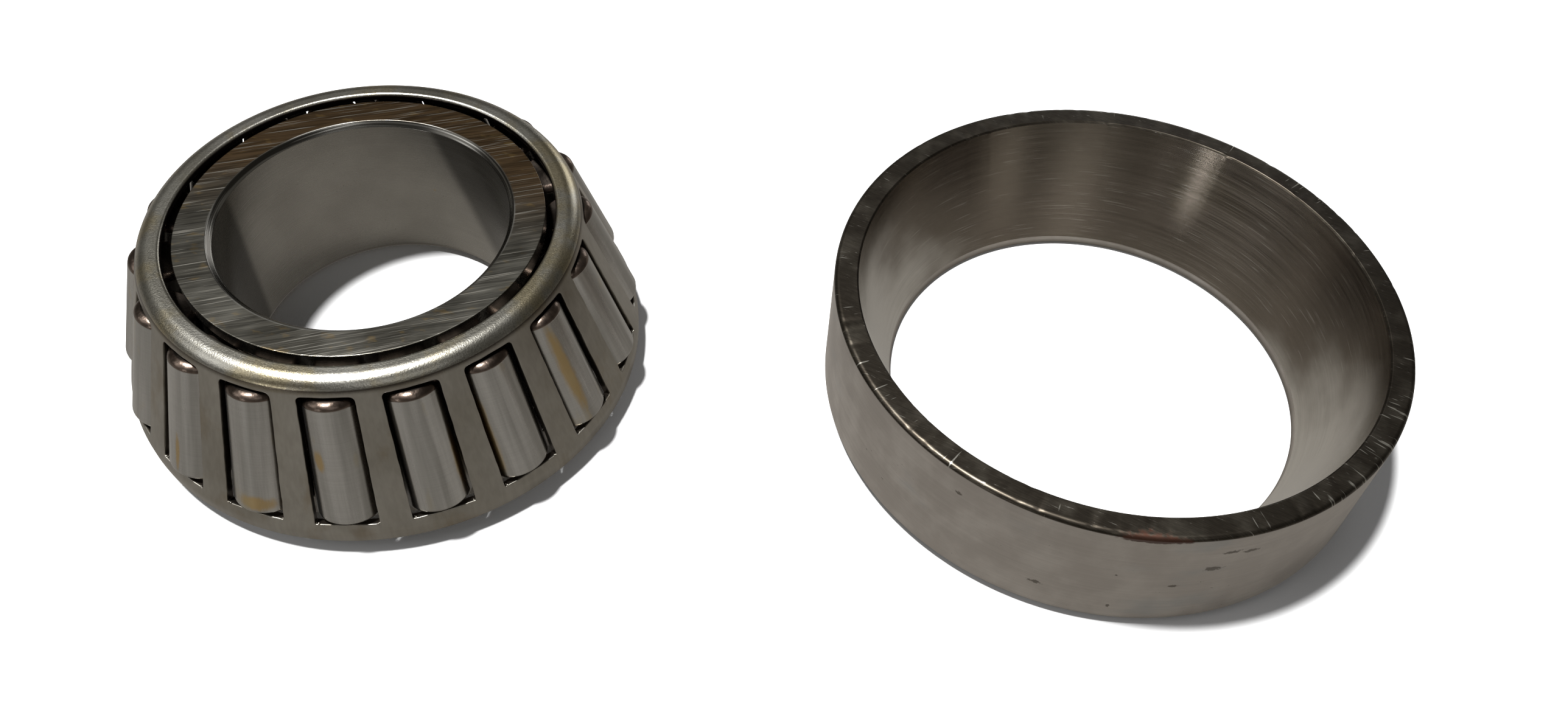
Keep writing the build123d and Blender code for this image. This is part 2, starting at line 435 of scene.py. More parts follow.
def window_rings():
    """Rings of points from the sheet's outside through one window to its inside, and which are its edge."""
    edge = 0.06
    outer_frame = frame_ring(OUTER_LOW_Z, OUTER_HIGH_Z, 0)
    outer_edge = window_ring(edge, 0)
    inner_edge = window_ring(edge, SHEET)
    inner_frame = frame_ring(INNER_LOW_Z, INNER_HIGH_Z, SHEET)
    outside = [outer_frame]
    outside += [ring_between(outer_frame, outer_edge, share, 0) for share in (0.35, 0.65, 0.85, 0.95)]
    punched = [
        outer_edge,
        window_ring(edge * 0.3, edge * 0.3),
        window_ring(0, edge),
        window_ring(0, edge * 2),
        window_ring(0, SHEET - edge * 2),
        window_ring(0, SHEET - edge),
        window_ring(edge * 0.3, SHEET - edge * 0.3),
        inner_edge,
    ]
    inside = [ring_between(inner_edge, inner_frame, share, SHEET) for share in (0.1, 0.4)]
    inside.append(inner_frame)
    is_punched = [False] * len(outside) + [True] * len(punched) + [False] * len(inside)
    return outside + punched + inside, is_punched


def lip_outline():
    """The sheet's rolled lip, from the outside over the top to the inside."""
    underside = CAGE_LIP_Z - SHEET
    corners = [
        (cage_radius(OUTER_HIGH_Z), OUTER_HIGH_Z, 0),
        (cage_radius(CAGE_LIP_Z), CAGE_LIP_Z, CAGE_BEND),
        (CAGE_LIP_INNER_RADIUS, CAGE_LIP_Z, CAGE_LIP_EDGE),
        (CAGE_LIP_INNER_RADIUS, underside, CAGE_LIP_EDGE),
        (cage_radius(underside) - ACROSS, underside, CAGE_BEND - SHEET),
        (cage_radius(INNER_HIGH_Z) - ACROSS, INNER_HIGH_Z, 0),
    ]
    return rounded(corners, closed=False)


def foot_outline():
    """The sheet's upright skirt, from the inside under the bottom to the outside."""
    skirt = cage_radius(CAGE_SKIRT_Z)
    corners = [
        (cage_radius(INNER_LOW_Z) - ACROSS, INNER_LOW_Z, 0),
        (skirt - ACROSS, CAGE_SKIRT_Z, CAGE_BEND - SHEET),
        (CAGE_BOTTOM_RADIUS - SHEET, CAGE_BOTTOM_Z, CAGE_EDGE),
        (CAGE_BOTTOM_RADIUS, CAGE_BOTTOM_Z, CAGE_EDGE),
        (skirt, CAGE_SKIRT_Z, CAGE_BEND),
        (cage_radius(OUTER_LOW_Z), OUTER_LOW_Z, 0),
    ]
    return rounded(corners, closed=False)


def add_window(points, faces, rings, is_punched, sector, turn):
    """One window and the sheet round it, its punched edges a little ragged."""
    start, size = len(points), len(rings[0])
    cosine, sine = math.cos(turn), math.sin(turn)
    own_place = Vector((0, 0, 31 * sector))
    for ring, punched in zip(rings, is_punched):
        for point in ring:
            if punched:
                point = point + noise.noise_vector(point * 0.9 + own_place) * RAGGED_EDGE
            x = point.x * cosine - point.y * sine
            y = point.x * sine + point.y * cosine
            points.append((x, y, point.z))
    for ring in range(len(rings) - 1):
        for step in range(size):
            a = start + ring * size + step
            b = start + ring * size + (step + 1) % size
            faces.append((a, b, b + size, a + size))


def add_strip(points, faces, outline, turn):
    """One sector of the lip or the foot."""
    start = len(points)
    ends = END_STEPS + CORNER_STEPS
    half_pitch = math.radians(ROLLER_PITCH / 2)
    for radius, height in outline:
        for step in range(ends + 1):
            angle = turn + half_pitch * (2 * step / ends - 1)
            points.append((radius * math.cos(angle), radius * math.sin(angle), height))
    width = ends + 1
    for row in range(len(outline) - 1):
        for step in range(ends):
            a = start + row * width + step
            faces.append((a, a + 1, a + 1 + width, a + width))


def make_cage():
    chance = random.Random(7)
    noise.seed_set(7)
    rings, is_punched = window_rings()
    lip, foot = lip_outline(), foot_outline()
    points, faces = [], []
    turns = [math.radians(FIRST_ANGLE + sector * ROLLER_PITCH) for sector in range(ROLLER_COUNT)]
    for sector, turn in enumerate(turns):
        add_window(points, faces, rings, is_punched, sector, turn)
        add_strip(points, faces, lip, turn)
        add_strip(points, faces, foot, turn)
    for turn in turns:
        add_burrs(points, faces, turn, chance)
    return mesh_object("cage_piece", points, faces)


def add_burrs(points, faces, turn, chance):
    """Tiny torn lumps of metal in a window's two lower corners, as punching leaves them."""
    for side in (-1, 1):
        for _ in range(chance.randint(1, 3)):
            across = side * (WINDOW_LOW_HALF - chance.uniform(0.05, 0.5))
            centre = on_sheet(across, chance.uniform(0.0, 0.12), chance.uniform(0.0, 0.3))
            size = chance.uniform(0.07, 0.15)
            lump = bmesh.new()
            bmesh.ops.create_icosphere(lump, subdivisions=1, radius=size)
            start = len(points)
            for vertex in lump.verts:
                torn = Vector([chance.uniform(-0.4, 0.4) * size for _ in range(3)])
                place = Matrix.Rotation(turn, 3, "Z") @ (centre + vertex.co + torn)
                points.append(tuple(place))
            faces += [tuple(start + vertex.index for vertex in face.verts) for face in lump.faces]
            lump.free()


def weld(piece):
    """Joins the doubled points along the seams and turns every face outward."""
    bm = bmesh.new()
    bm.from_mesh(piece.data)
    bmesh.ops.remove_doubles(bm, verts=bm.verts, dist=WELD_DISTANCE * MM)
    bmesh.ops.recalc_face_normals(bm, faces=bm.faces)
    bm.to_mesh(piece.data)
    bm.free()


# ---------------------------------------------------------------- materials

class Steel:
    """A metallic material being put together. Places are in millimetres in the row frame at rest."""

    def __init__(self, name, anisotropy=0.0):
        self.material = bpy.data.materials.new(name)
        self.material.use_nodes = True
        self.tree = self.material.node_tree
        self.shader = self.tree.nodes["Principled BSDF"]
        self.shader.inputs["Metallic"].default_value = 1
        if anisotropy:
            self.shader.inputs["Anisotropic"].default_value = anisotropy
            # A quarter turn: highlights stretch across the grinding lines, which run along U
            self.shader.inputs["Anisotropic Rotation"].default_value = 0.25
            tangent = self.node("ShaderNodeTangent", direction_type="UV_MAP", uv_map="UVMap")
            self.feed(self.shader.inputs["Tangent"], tangent.outputs[0])

    def node(self, kind, **settings):
        made = self.tree.nodes.new(kind)
        for key, value in settings.items():
            setattr(made, key, value)
        return made

    def feed(self, socket, value):
        """Links an output to the socket, or sets its value."""
        if isinstance(value, bpy.types.NodeSocket):
            self.tree.links.new(value, socket)
        elif isinstance(value, tuple) and socket.type == "RGBA":
            socket.default_value = (*value, 1)
        else:
            socket.default_value = value

    def maths(self, operation, first, second=0.0, third=0.0):
        made = self.node("ShaderNodeMath", operation=operation)
        for socket, value in zip(made.inputs, (first, second, third)):
            self.feed(socket, value)
        return made.outputs[0]

    def vector_maths(self, operation, first, second):
        made = self.node("ShaderNodeVectorMath", operation=operation)
        self.feed(made.inputs[0], first)
        self.feed(made.inputs[1], second)
        is_number = operation in ("LENGTH", "DISTANCE", "DOT_PRODUCT")
        return made.outputs["Value" if is_number else "Vector"]

    def place(self, centre=(0, 0, 0)):
        """The point being shaded, in millimetres from centre."""
        coords = self.node("ShaderNodeTexCoord").outputs["Object"]
        in_mm = self.vector_maths("MULTIPLY", coords, (1 / MM, 1 / MM, 1 / MM))
        return self.vector_maths("SUBTRACT", in_mm, centre)

    def attribute(self, name, output="Vector"):
        return self.node("ShaderNodeAttribute", attribute_name=name).outputs[output]

    def split(self, vector):
        made = self.node("ShaderNodeSeparateXYZ")
        self.feed(made.inputs[0], vector)
        return made.outputs[0], made.outputs[1], made.outputs[2]

    def radius(self, vector):
        flat = self.vector_maths("MULTIPLY", vector, (1, 1, 0))
        return self.vector_maths("LENGTH", flat, (0, 0, 0))

    def towards(self, vector, azimuth):
        """Cosine of the angle, seen from above, between a point's direction and this azimuth."""
        a = math.radians(azimuth)
        flat = self.vector_maths("MULTIPLY", vector, (1, 1, 0))
        direction = self.vector_maths("NORMALIZE", flat, (0, 0, 0))
        return self.vector_maths("DOT_PRODUCT", direction, (math.cos(a), math.sin(a), 0))

    def stretched(self, vector, centre, reaches):
        """Distance from centre, where a point this far off along x, y or z is at distance 1."""
        apart = self.vector_maths("SUBTRACT", vector, centre)
        apart = self.vector_maths("MULTIPLY", apart, tuple(1 / reach for reach in reaches))
        return self.vector_maths("LENGTH", apart, (0, 0, 0))

    def turned(self, vector, degrees):
        made = self.node("ShaderNodeVectorRotate", rotation_type="Z_AXIS")
        self.feed(made.inputs["Vector"], vector)
        made.inputs["Angle"].default_value = math.radians(degrees)
        return made.outputs[0]

    def noise(self, vector, grain, detail=2.0, roughness=0.5, distortion=0.0):
        """Noise whose grain along x, y and z is so many millimetres."""
        scaled = self.vector_maths("MULTIPLY", vector, tuple(1 / size for size in grain))
        made = self.node("ShaderNodeTexNoise")
        self.feed(made.inputs["Vector"], scaled)
        made.inputs["Scale"].default_value = 1
        made.inputs["Detail"].default_value = detail
        made.inputs["Roughness"].default_value = roughness
        made.inputs["Distortion"].default_value = distortion
        return made.outputs["Fac"]

    def between(self, value, low, high, to_low=0.0, to_high=1.0):
        """value from low to high, eased into to_low to to_high."""
        made = self.node("ShaderNodeMapRange", interpolation_type="SMOOTHSTEP")
        made.inputs["From Min"].default_value = low
        made.inputs["From Max"].default_value = high
        made.inputs["To Min"].default_value = to_low
        made.inputs["To Max"].default_value = to_high
        self.feed(made.inputs["Value"], value)
        return made.outputs[0]

    def both(self, first, second):
        return self.maths("MULTIPLY", first, second)

    def mix(self, amount, first, second):
        made = self.node("ShaderNodeMix", data_type="RGBA")
        self.feed(made.inputs["Factor"], amount)
        self.feed(made.inputs[6], first)
        self.feed(made.inputs[7], second)
        return made.outputs[2]

    def blend(self, amount, first, second):
        made = self.node("ShaderNodeMix", data_type="FLOAT")
        self.feed(made.inputs["Factor"], amount)
        self.feed(made.inputs[2], first)
        self.feed(made.inputs[3], second)
        return made.outputs[0]

    def shaded(self, colour, amount, darkest):
        """The colour darkened down to darkest where amount is 0."""
        level = self.maths("MULTIPLY_ADD", amount, 1 - darkest, darkest)
        scale = self.node("ShaderNodeVectorMath", operation="SCALE")
        self.feed(scale.inputs[0], colour)
        self.feed(scale.inputs["Scale"], level)
        return scale.outputs["Vector"]

    def finish(self, colour, roughness, bumps):
        """Bumps are (height in 0 to 1, depth in millimetres) pairs, laid one on another."""
        self.feed(self.shader.inputs["Base Color"], colour)
        self.feed(self.shader.inputs["Roughness"], roughness)
        normal = None
        for height, depth in bumps:
            bump = self.node("ShaderNodeBump")
            bump.inputs["Distance"].default_value = depth * MM
            self.feed(bump.inputs["Height"], height)
            if normal:
                self.feed(bump.inputs["Normal"], normal)
            normal = bump.outputs[0]
        if normal:
            self.feed(self.shader.inputs["Normal"], normal)
        return self.material


DARK_STEEL = (0.13, 0.115, 0.095)
BRIGHT_SCRATCH = (0.66, 0.63, 0.56)
STRAW_TINT = (0.45, 0.38, 0.23)
OCHRE_STAIN = (0.46, 0.31, 0.11)
BRONZE_SCALE = (0.17, 0.13, 0.105)
BROWN_AND_SHADE_FACE = (0.17, 0.11, 0.058)
RED_RUST = (0.075, 0.03, 0.02)
BLUE_SHADE = (0.40, 0.43, 0.44)
CREVICE_SHADE = (0.075, 0.062, 0.05)


def lines_round(steel, place, fine=0.05, coarse=0.35):
    """Grinding lines that run round a vertical axis, as fine and coarse noise that is long one way."""
    thin = steel.noise(place, (9, 9, fine), detail=1)
    broad = steel.noise(place, (30, 30, coarse), detail=2)
    return steel.blend(0.45, thin, broad)


def make_bore_steel():
    """The inner ring's bore: satin, ground round and round, with two upright bands of painted shade and one
    small rust spot on its far wall.
    """
    steel = Steel("bore_steel", anisotropy=0.7)
    place = steel.place()
    z = steel.split(place)[2]
    lines = lines_round(steel, place)
    cloud = steel.noise(place, (7, 7, 7), detail=3)
    body = steel.mix(steel.between(cloud, 0.3, 0.75), (0.34, 0.325, 0.295), (0.40, 0.385, 0.35))

    # Two upright bands of painted shade, the second one slanting
    left_band = steel.between(steel.towards(place, 200), 0.86, 0.90)
    slant = steel.maths("MULTIPLY_ADD", z, 0.0143, steel.towards(place, 30))
    right_band = steel.between(slant, 0.97, 1.05)
    shade_bands = steel.maths("MAXIMUM", left_band, right_band)
    body = steel.shaded(body, steel.maths("SUBTRACT", 1.0, shade_bands), 0.42)
    body = steel.shaded(body, steel.between(lines, 0.3, 0.65), 0.92)

    specks = steel.between(steel.noise(place, (0.5, 0.5, 0.4), detail=2), 0.73, 0.78)
    body = steel.mix(steel.both(specks, 0.5), body, DARK_STEEL)
    rust_spot = steel.vector_maths("DISTANCE", place, (3.2, BORE_RADIUS, 11.6))
    body = steel.mix(steel.between(rust_spot, 0.42, 0.15), body, OCHRE_STAIN)
    return steel.finish(body, steel.between(lines, 0.3, 0.7, 0.24, 0.32), [(lines, 0.005)])


def scratched_face(steel, place, cloud):
    """Colour and height of the inner ring's face: brown at the back, darkened there partly by painted
    shade, silver in front, ground across.
    """
    y = steel.split(place)[1]
    fine_marks = steel.noise(steel.turned(place, -15), (26, 0.16, 30), 3, 0.65, 0.25)
    broad_marks = steel.noise(steel.turned(place, -21), (9, 0.55, 30), 3, 0.5, 0.3)
    grind = steel.blend(0.5, fine_marks, broad_marks)
    # Brown towards the back: partly a real tint, partly painted shade where the back lies darker
    waver = steel.maths("MULTIPLY_ADD", cloud, 16.0, -8.0)
    back = steel.between(steel.maths("ADD", y, waver), -4, 11)
    silver = steel.mix(steel.between(cloud, 0.4, 0.68), (0.145, 0.137, 0.115), (0.27, 0.26, 0.225))
    face = steel.mix(back, silver, BROWN_AND_SHADE_FACE)
    yellow = steel.between(steel.noise(place, (2.0, 1.0, 3), detail=4), 0.58, 0.72)
    face = steel.mix(steel.both(yellow, 0.35), face, OCHRE_STAIN)
    face = steel.shaded(face, steel.between(grind, 0.38, 0.6), 0.45)
    streaks = steel.noise(steel.turned(place, -19), (9, 0.14, 40), 2, 0.5, 0.15)
    return steel.mix(steel.both(steel.between(streaks, 0.6, 0.69), 0.8), face, BRIGHT_SCRATCH), grind


def make_ring_steel():
    """The inner ring: its scratched face, its dark chamfers, and plain ground rib and race."""
    steel = Steel("ring_steel")
    place = steel.place()
    z = steel.split(place)[2]
    lines = lines_round(steel, place)
    cloud = steel.noise(place, (7, 7, 7), detail=3)
    body = steel.mix(steel.between(cloud, 0.35, 0.7), (0.35, 0.33, 0.295), (0.43, 0.41, 0.375))
    body = steel.shaded(body, steel.between(lines, 0.3, 0.65), 0.9)
    face, grind = scratched_face(steel, place, cloud)
    on_face = steel.between(z, CONE_WIDTH - 0.14, CONE_WIDTH - 0.04)

    # The small chamfer between face and bore is dark, with a bright line at its middle
    near_bore = steel.between(steel.radius(place), 17.5, 17.2)
    chamfer = steel.both(steel.between(z, CONE_WIDTH - 0.75, CONE_WIDTH - 0.6), near_bore)
    line = steel.between(steel.noise(place, (12, 12, 0.16), detail=1), 0.5, 0.62)
    edge = steel.mix(line, (0.10, 0.095, 0.085), (0.42, 0.41, 0.38))

    # Painted shade darkens the bottom of the ring, beside the floor
    foot = steel.between(z, 1.75, 1.35)
    colour = steel.mix(foot, body, (0.30, 0.28, 0.25))
    colour = steel.mix(on_face, colour, face)
    colour = steel.mix(chamfer, colour, edge)
    roughness = steel.blend(on_face, steel.between(lines, 0.3, 0.7, 0.17, 0.27), 0.3)
    height = steel.blend(on_face, lines, grind)
    return steel.finish(colour, roughness, [(height, 0.008)])


def make_race_steel():
    """The outer ring's race: satin, ground round and round, which draws highlights into upright bands."""
    steel = Steel("race_steel", anisotropy=0.8)
    place = steel.place(centre=(CUP_X, 0, 0))
    x, y, z = steel.split(place)
    lines = lines_round(steel, place, fine=0.07, coarse=0.5)
    cloud = steel.noise(place, (11, 11, 6), detail=3)

    # Painted shade: the race darkens to brown towards the mouth and the back, and is lighter low down in
    # front
    waver = steel.between(cloud, 0.2, 0.8, -4, 4)
    painted_shade_level = steel.maths("ADD", z, waver)
    painted_shade_level = steel.maths("MULTIPLY_ADD", y, 0.8, painted_shade_level)
    painted_shade_level = steel.maths("MULTIPLY_ADD", x, 0.25, painted_shade_level)
    race = steel.mix(steel.between(painted_shade_level, 19, 2), (0.23, 0.20, 0.165), (0.74, 0.72, 0.67))
    race = steel.shaded(race, steel.between(lines, 0.3, 0.68), 0.84)
    streaks = steel.between(steel.noise(place, (5, 5, 0.12), detail=2), 0.62, 0.72)
    race = steel.mix(steel.both(streaks, 0.25), race, (0.8, 0.78, 0.72))
    on_land = steel.between(z, LAND_HEIGHT - 0.04, LAND_HEIGHT - 0.25)
    colour = steel.mix(on_land, race, (0.16, 0.14, 0.12))
    return steel.finish(colour, steel.between(lines, 0.3, 0.7, 0.2, 0.27), [(lines, 0.006)])


# Pits in the outer ring's wall: azimuth, height, half length round the wall, half height
WALL_PITS = (
    (288, 13.9, 1.1, 0.35),
    (284, 14.3, 1.3, 0.3),
    (282, 11.3, 1.3, 0.5),
    (276, 8.1, 0.6, 0.3),
    (265, 9.8, 0.25, 0.2),
    (266, 3.4, 0.35, 0.3),
    (252, 4.9, 0.9, 0.35),
    (234, 14.0, 0.5, 0.3),
)


def outer_wall(steel, place, mottle, lines):
    """Colour of the outer ring's wall: faintly pink, mottled, with a few dark pits."""
    cloud = steel.noise(place, (11, 11, 6), detail=3)
    wall = steel.mix(steel.between(mottle, 0.35, 0.7), (0.50, 0.465, 0.43), (0.60, 0.565, 0.525))
    wall = steel.mix(steel.both(steel.between(cloud, 0.55, 0.75), 0.5), wall, BLUE_SHADE)
    wall = steel.shaded(wall, steel.between(lines, 0.3, 0.7), 0.9)
    specks = steel.between(steel.noise(place, (0.75, 0.75, 0.4), detail=3, roughness=0.7), 0.68, 0.74)
    in_patch = steel.between(steel.noise(place, (6, 6, 4), detail=1), 0.5, 0.6)
    wall = steel.mix(steel.both(specks, in_patch), wall, DARK_STEEL)
    crumbled = steel.noise(place, (0.45, 0.45, 0.3), detail=3, roughness=0.7)
    for azimuth, height, half_length, half_height in WALL_PITS:
        faced = steel.turned(place, -azimuth)
        reach = steel.stretched(faced, (CUP_RADIUS, 0, height), (5, half_length, half_height))
        pit = steel.between(steel.maths("MULTIPLY_ADD", crumbled, 2.4, reach), 2.15, 1.75)
        wall = steel.mix(steel.both(pit, 0.8), wall, DARK_STEEL)
    return wall


def scaly_rim(steel, place):
    """Colour and height of the outer ring's rim: nearly black scale, rubbed and nicked."""
    marks = steel.noise(steel.turned(place, 25), (1.8, 0.16, 9), 3, 0.7, 0.4)
    rubbed = steel.noise(place, (3.5, 3.5, 9), detail=3)
    rim = steel.mix(steel.between(rubbed, 0.42, 0.72), (0.06, 0.051, 0.04), (0.115, 0.102, 0.082))
    rim = steel.shaded(rim, steel.between(marks, 0.35, 0.62), 0.72)
    rim = steel.mix(steel.both(steel.between(marks, 0.66, 0.74), 0.8), rim, (0.62, 0.60, 0.54))

    # Tick marks cross it here and there, most of them in one place
    x, y, _ = steel.split(place)
    polar = steel.node("ShaderNodeCombineXYZ")
    steel.feed(polar.inputs[0], steel.both(steel.maths("ARCTAN2", y, x), CUP_RADIUS))
    steel.feed(polar.inputs[1], steel.radius(place))
    ticks = steel.noise(polar.outputs[0], (0.4, 3.5, 9), detail=1)
    crowded = steel.between(steel.towards(place, -40), 0.94, 0.98, 0.0, 0.09)
    tick = steel.between(steel.maths("ADD", ticks, crowded), 0.71, 0.77)
    return steel.mix(steel.both(tick, 0.75), rim, (0.55, 0.53, 0.47)), marks


def make_cup_steel():
    """The outer ring's wall and rim, with one rust stain that creeps over the rim's edge in front."""
    steel = Steel("cup_steel")
    place = steel.place(centre=(CUP_X, 0, 0))
    z = steel.split(place)[2]
    lines = lines_round(steel, place, fine=0.07, coarse=0.5)
    mottle = steel.noise(place, (5, 5, 5), detail=4, roughness=0.6)
    wall = outer_wall(steel, place, mottle, lines)
    # Painted shade darkens the wall's lowest millimetre, beside the floor
    wall = steel.mix(steel.between(z, 1.0, 0.3), wall, (0.22, 0.20, 0.175))
    rim, marks = scaly_rim(steel, place)
    on_rim = steel.between(z, CUP_WIDTH - 0.55, CUP_WIDTH - 0.38)
    colour = steel.mix(on_rim, wall, rim)

    reach = steel.stretched(place, (-1.0, -33.9, CUP_WIDTH - 0.4), (4.17, 1.67, 0.476))
    ragged = steel.maths("ADD", reach, steel.noise(place, (0.7, 0.7, 0.7), detail=3))
    rusty = steel.both(steel.between(ragged, 1.6, 1.2), 0.8)
    colour = steel.mix(rusty, colour, RED_RUST)
    roughness = steel.blend(on_rim, steel.between(mottle, 0.3, 0.7, 0.38, 0.48), 0.36)
    roughness = steel.blend(rusty, roughness, 0.6)
    height = steel.blend(on_rim, lines, marks)
    return steel.finish(colour, roughness, [(height, 0.008)])


# Stains on single rollers: number, across and along from the middle of the face, half width, half length
ROLLER_STAINS = (
    (1, 0.8, 1.6, 2.2, 1.0),
    (2, -1.6, 8.6, 0.55, 1.5),
    (3, 2.9, 5.5, 0.6, 5.0),
    (4, -2.9, 7.5, 0.5, 7.0),
    (5, -1.35, 8.0, 0.75, 7.5),
    (9, 1.0, 5.0, 0.8, 3.5),
    (14, -1.2, 9.0, 0.7, 3.0),
    (18, 0.4, 3.4, 0.35, 2.6),
)


def roller_side(steel, standing, seed, own, rings):
    """Colour and roughness of a roller's side: soft bands along it, stained here and there."""
    bands = steel.noise(own, (1.5, 1.5, 60), detail=2)
    fine = steel.noise(own, (0.22, 0.22, 18), detail=2)
    side = steel.mix(steel.between(bands, 0.3, 0.7), (0.36, 0.35, 0.325), (0.54, 0.53, 0.505))
    side = steel.shaded(side, steel.between(fine, 0.3, 0.66), 0.93)
    side = steel.shaded(side, steel.between(rings, 0.3, 0.66), 0.93)
    ragged = steel.noise(own, (0.9, 0.9, 3.2), detail=4, roughness=0.65)
    for number, across, along, half_width, half_length in ROLLER_STAINS:
        reach = steel.stretched(standing, (ROLLER_RADIUS, across, along), (4, half_width, half_length))
        patch = steel.between(steel.maths("ADD", reach, ragged), 1.75, 1.0)
        mine = steel.maths("COMPARE", seed, float(number - 1), 0.5)
        side = steel.mix(steel.both(steel.both(patch, mine), 0.75), side, OCHRE_STAIN)
    stain = steel.between(steel.noise(own, (2.5, 2.5, 7), detail=3), 0.6, 0.75)
    side = steel.mix(steel.both(stain, 0.35), side, STRAW_TINT)
    return side, steel.between(bands, 0.3, 0.7, 0.33, 0.22)


def make_roller_steel():
    """The rollers: satin ground sides, and small ends left dark bronze, painted nearly black in the middle
    as shade.
    """
    steel = Steel("roller_steel", anisotropy=0.6)
    standing = steel.vector_maths("MULTIPLY", steel.attribute("standing"), (1 / MM, 1 / MM, 1 / MM))
    seed = steel.attribute("seed", "Fac")
    z = steel.split(standing)[2]

    # Each roller takes its noise from a place of its own
    shift = steel.node("ShaderNodeCombineXYZ")
    steel.feed(shift.inputs[0], steel.both(seed, 37.1))
    steel.feed(shift.inputs[1], steel.both(seed, 11.3))
    own = steel.vector_maths("ADD", standing, shift.outputs[0])
    rings = steel.noise(own, (7, 7, 0.09), detail=2)
    side, side_roughness = roller_side(steel, standing, seed, own, rings)

    blotch = steel.noise(own, (0.8, 0.8, 0.8), detail=4)
    scale = steel.mix(steel.between(blotch, 0.35, 0.7), (0.115, 0.088, 0.072), BRONZE_SCALE)
    # Painted shade: the middle of each small end, down in the groove under the cage's lip, is nearly black
    shaded_end_middle = steel.between(steel.radius(standing), 2.75, 2.45)
    scale = steel.mix(shaded_end_middle, scale, (0.022, 0.018, 0.015))
    small_end = steel.between(z, ROLLER_LENGTH - 1.02, ROLLER_LENGTH - 0.86)
    colour = steel.mix(small_end, side, scale)
    colour = steel.mix(steel.between(z, 0.2, 0.02), colour, (0.42, 0.40, 0.37))
    end_roughness = steel.blend(shaded_end_middle, 0.3, 0.5)
    roughness = steel.blend(small_end, side_roughness, end_roughness)
    return steel.finish(colour, roughness, [(rings, 0.003), (steel.both(blotch, small_end), 0.05)])


def rolled_lip(steel, place, cloud, grain):
    """Colour of the cage's lip: fine sparkling grain, with straw-coloured patches."""
    lip = steel.mix(steel.between(cloud, 0.35, 0.7), (0.35, 0.335, 0.285), (0.54, 0.525, 0.475))
    straw = steel.between(steel.noise(place, (6, 6, 6), detail=4, roughness=0.6), 0.45, 0.64)
    lip = steel.mix(steel.both(straw, 0.7), lip, STRAW_TINT)
    return steel.shaded(lip, steel.between(grain, 0.3, 0.62), 0.7)


def make_cage_steel():
    """The cage: smooth pressed bars with brown patches under a grained lip, painted dark with shade on the
    inside, in its windows and under its lip.
    """
    steel = Steel("cage_steel")
    place = steel.place()
    z = steel.split(place)[2]
    radius = steel.radius(place)
    cloud = steel.noise(place, (8, 8, 8), detail=4)
    smooth = steel.mix(steel.between(cloud, 0.3, 0.72), (0.31, 0.29, 0.25), (0.39, 0.37, 0.33))
    brown = steel.between(steel.noise(place, (4.5, 4.5, 6), detail=4), 0.55, 0.74)
    smooth = steel.mix(steel.both(brown, 0.5), smooth, (0.25, 0.20, 0.135))
    drawn = steel.noise(place, (0.5, 0.5, 14), detail=3)
    smooth = steel.shaded(smooth, steel.between(drawn, 0.3, 0.7), 0.9)
    grain = steel.noise(place, (0.17, 0.17, 0.17), detail=3, roughness=0.6)
    on_lip = steel.between(z, 20.7, 21.5)
    colour = steel.mix(on_lip, smooth, rolled_lip(steel, place, cloud, grain))

    # Painted shade: punched edges and everything behind the outer surface are dark
    cone = steel.both(steel.maths("SUBTRACT", APEX_Z, z), math.tan(RACE_SLOPE))
    outside = steel.maths("SUBTRACT", cone, ROLLER_PROTRUSION / math.cos(RACE_SLOPE))
    depth = steel.maths("SUBTRACT", outside, radius)
    behind = steel.both(steel.between(depth, 0.1, 0.3), steel.between(z, 20.95, 20.75))
    behind = steel.both(behind, steel.between(z, 4.0, 4.4))
    colour = steel.mix(behind, colour, CREVICE_SHADE)
    # Painted shade on the lip's inner edge and on its underside
    inner_edge = steel.both(steel.between(radius, 22.35, 22.1), steel.between(z, 22.3, 22.1))
    colour = steel.mix(inner_edge, colour, (0.06, 0.05, 0.045))
    underside = steel.both(on_lip, steel.between(z, 21.45, 21.35))
    colour = steel.mix(underside, colour, (0.09, 0.075, 0.06))
    roughness = steel.blend(on_lip, steel.between(cloud, 0.3, 0.7, 0.33, 0.42), 0.28)
    bumps = [(steel.both(grain, steel.between(z, 20.6, 21.6, 0.06, 1.0)), 0.022)]
    return steel.finish(colour, roughness, bumps)


# ---------------------------------------------------------------- assembly

def finish_piece(piece, node, material):
    """Puts the piece in the place of its CAD node."""
    weld(piece)
    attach(piece, node)
    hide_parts(node)
    piece.data.materials.append(material)


def add_steel(piece, material, is_there):
    """Gives the piece a second material on the faces whose centres, in millimetres, are in one place."""
    piece.data.materials.append(material)
    for face in piece.data.polygons:
        face.material_index = int(is_there(face.center / MM))


def in_bore(centre):
    return math.hypot(centre.x, centre.y) < BORE_RADIUS + 0.01


def on_race(centre):
    out = math.hypot(centre.x - CUP_X, centre.y)
    return out < cup_mouth_radius(centre.z) + 0.01 and centre.z < CUP_WIDTH - CUP_RIM_CHAMFER


inner_ring = make_inner_ring()
finish_piece(inner_ring, "inner_ring", make_ring_steel())
add_steel(inner_ring, make_bore_steel(), in_bore)
outer_ring = make_outer_ring()
finish_piece(outer_ring, "outer_ring", make_cup_steel())
add_steel(outer_ring, make_race_steel(), on_race)
finish_piece(make_cage(), "cage", make_cage_steel())
roller_steel = make_roller_steel()
for index in range(ROLLER_COUNT):
    finish_piece(make_roller(index), f"roller_{index + 1:02d}", roller_steel)


# ---------------------------------------------------------------- stage, lights and camera

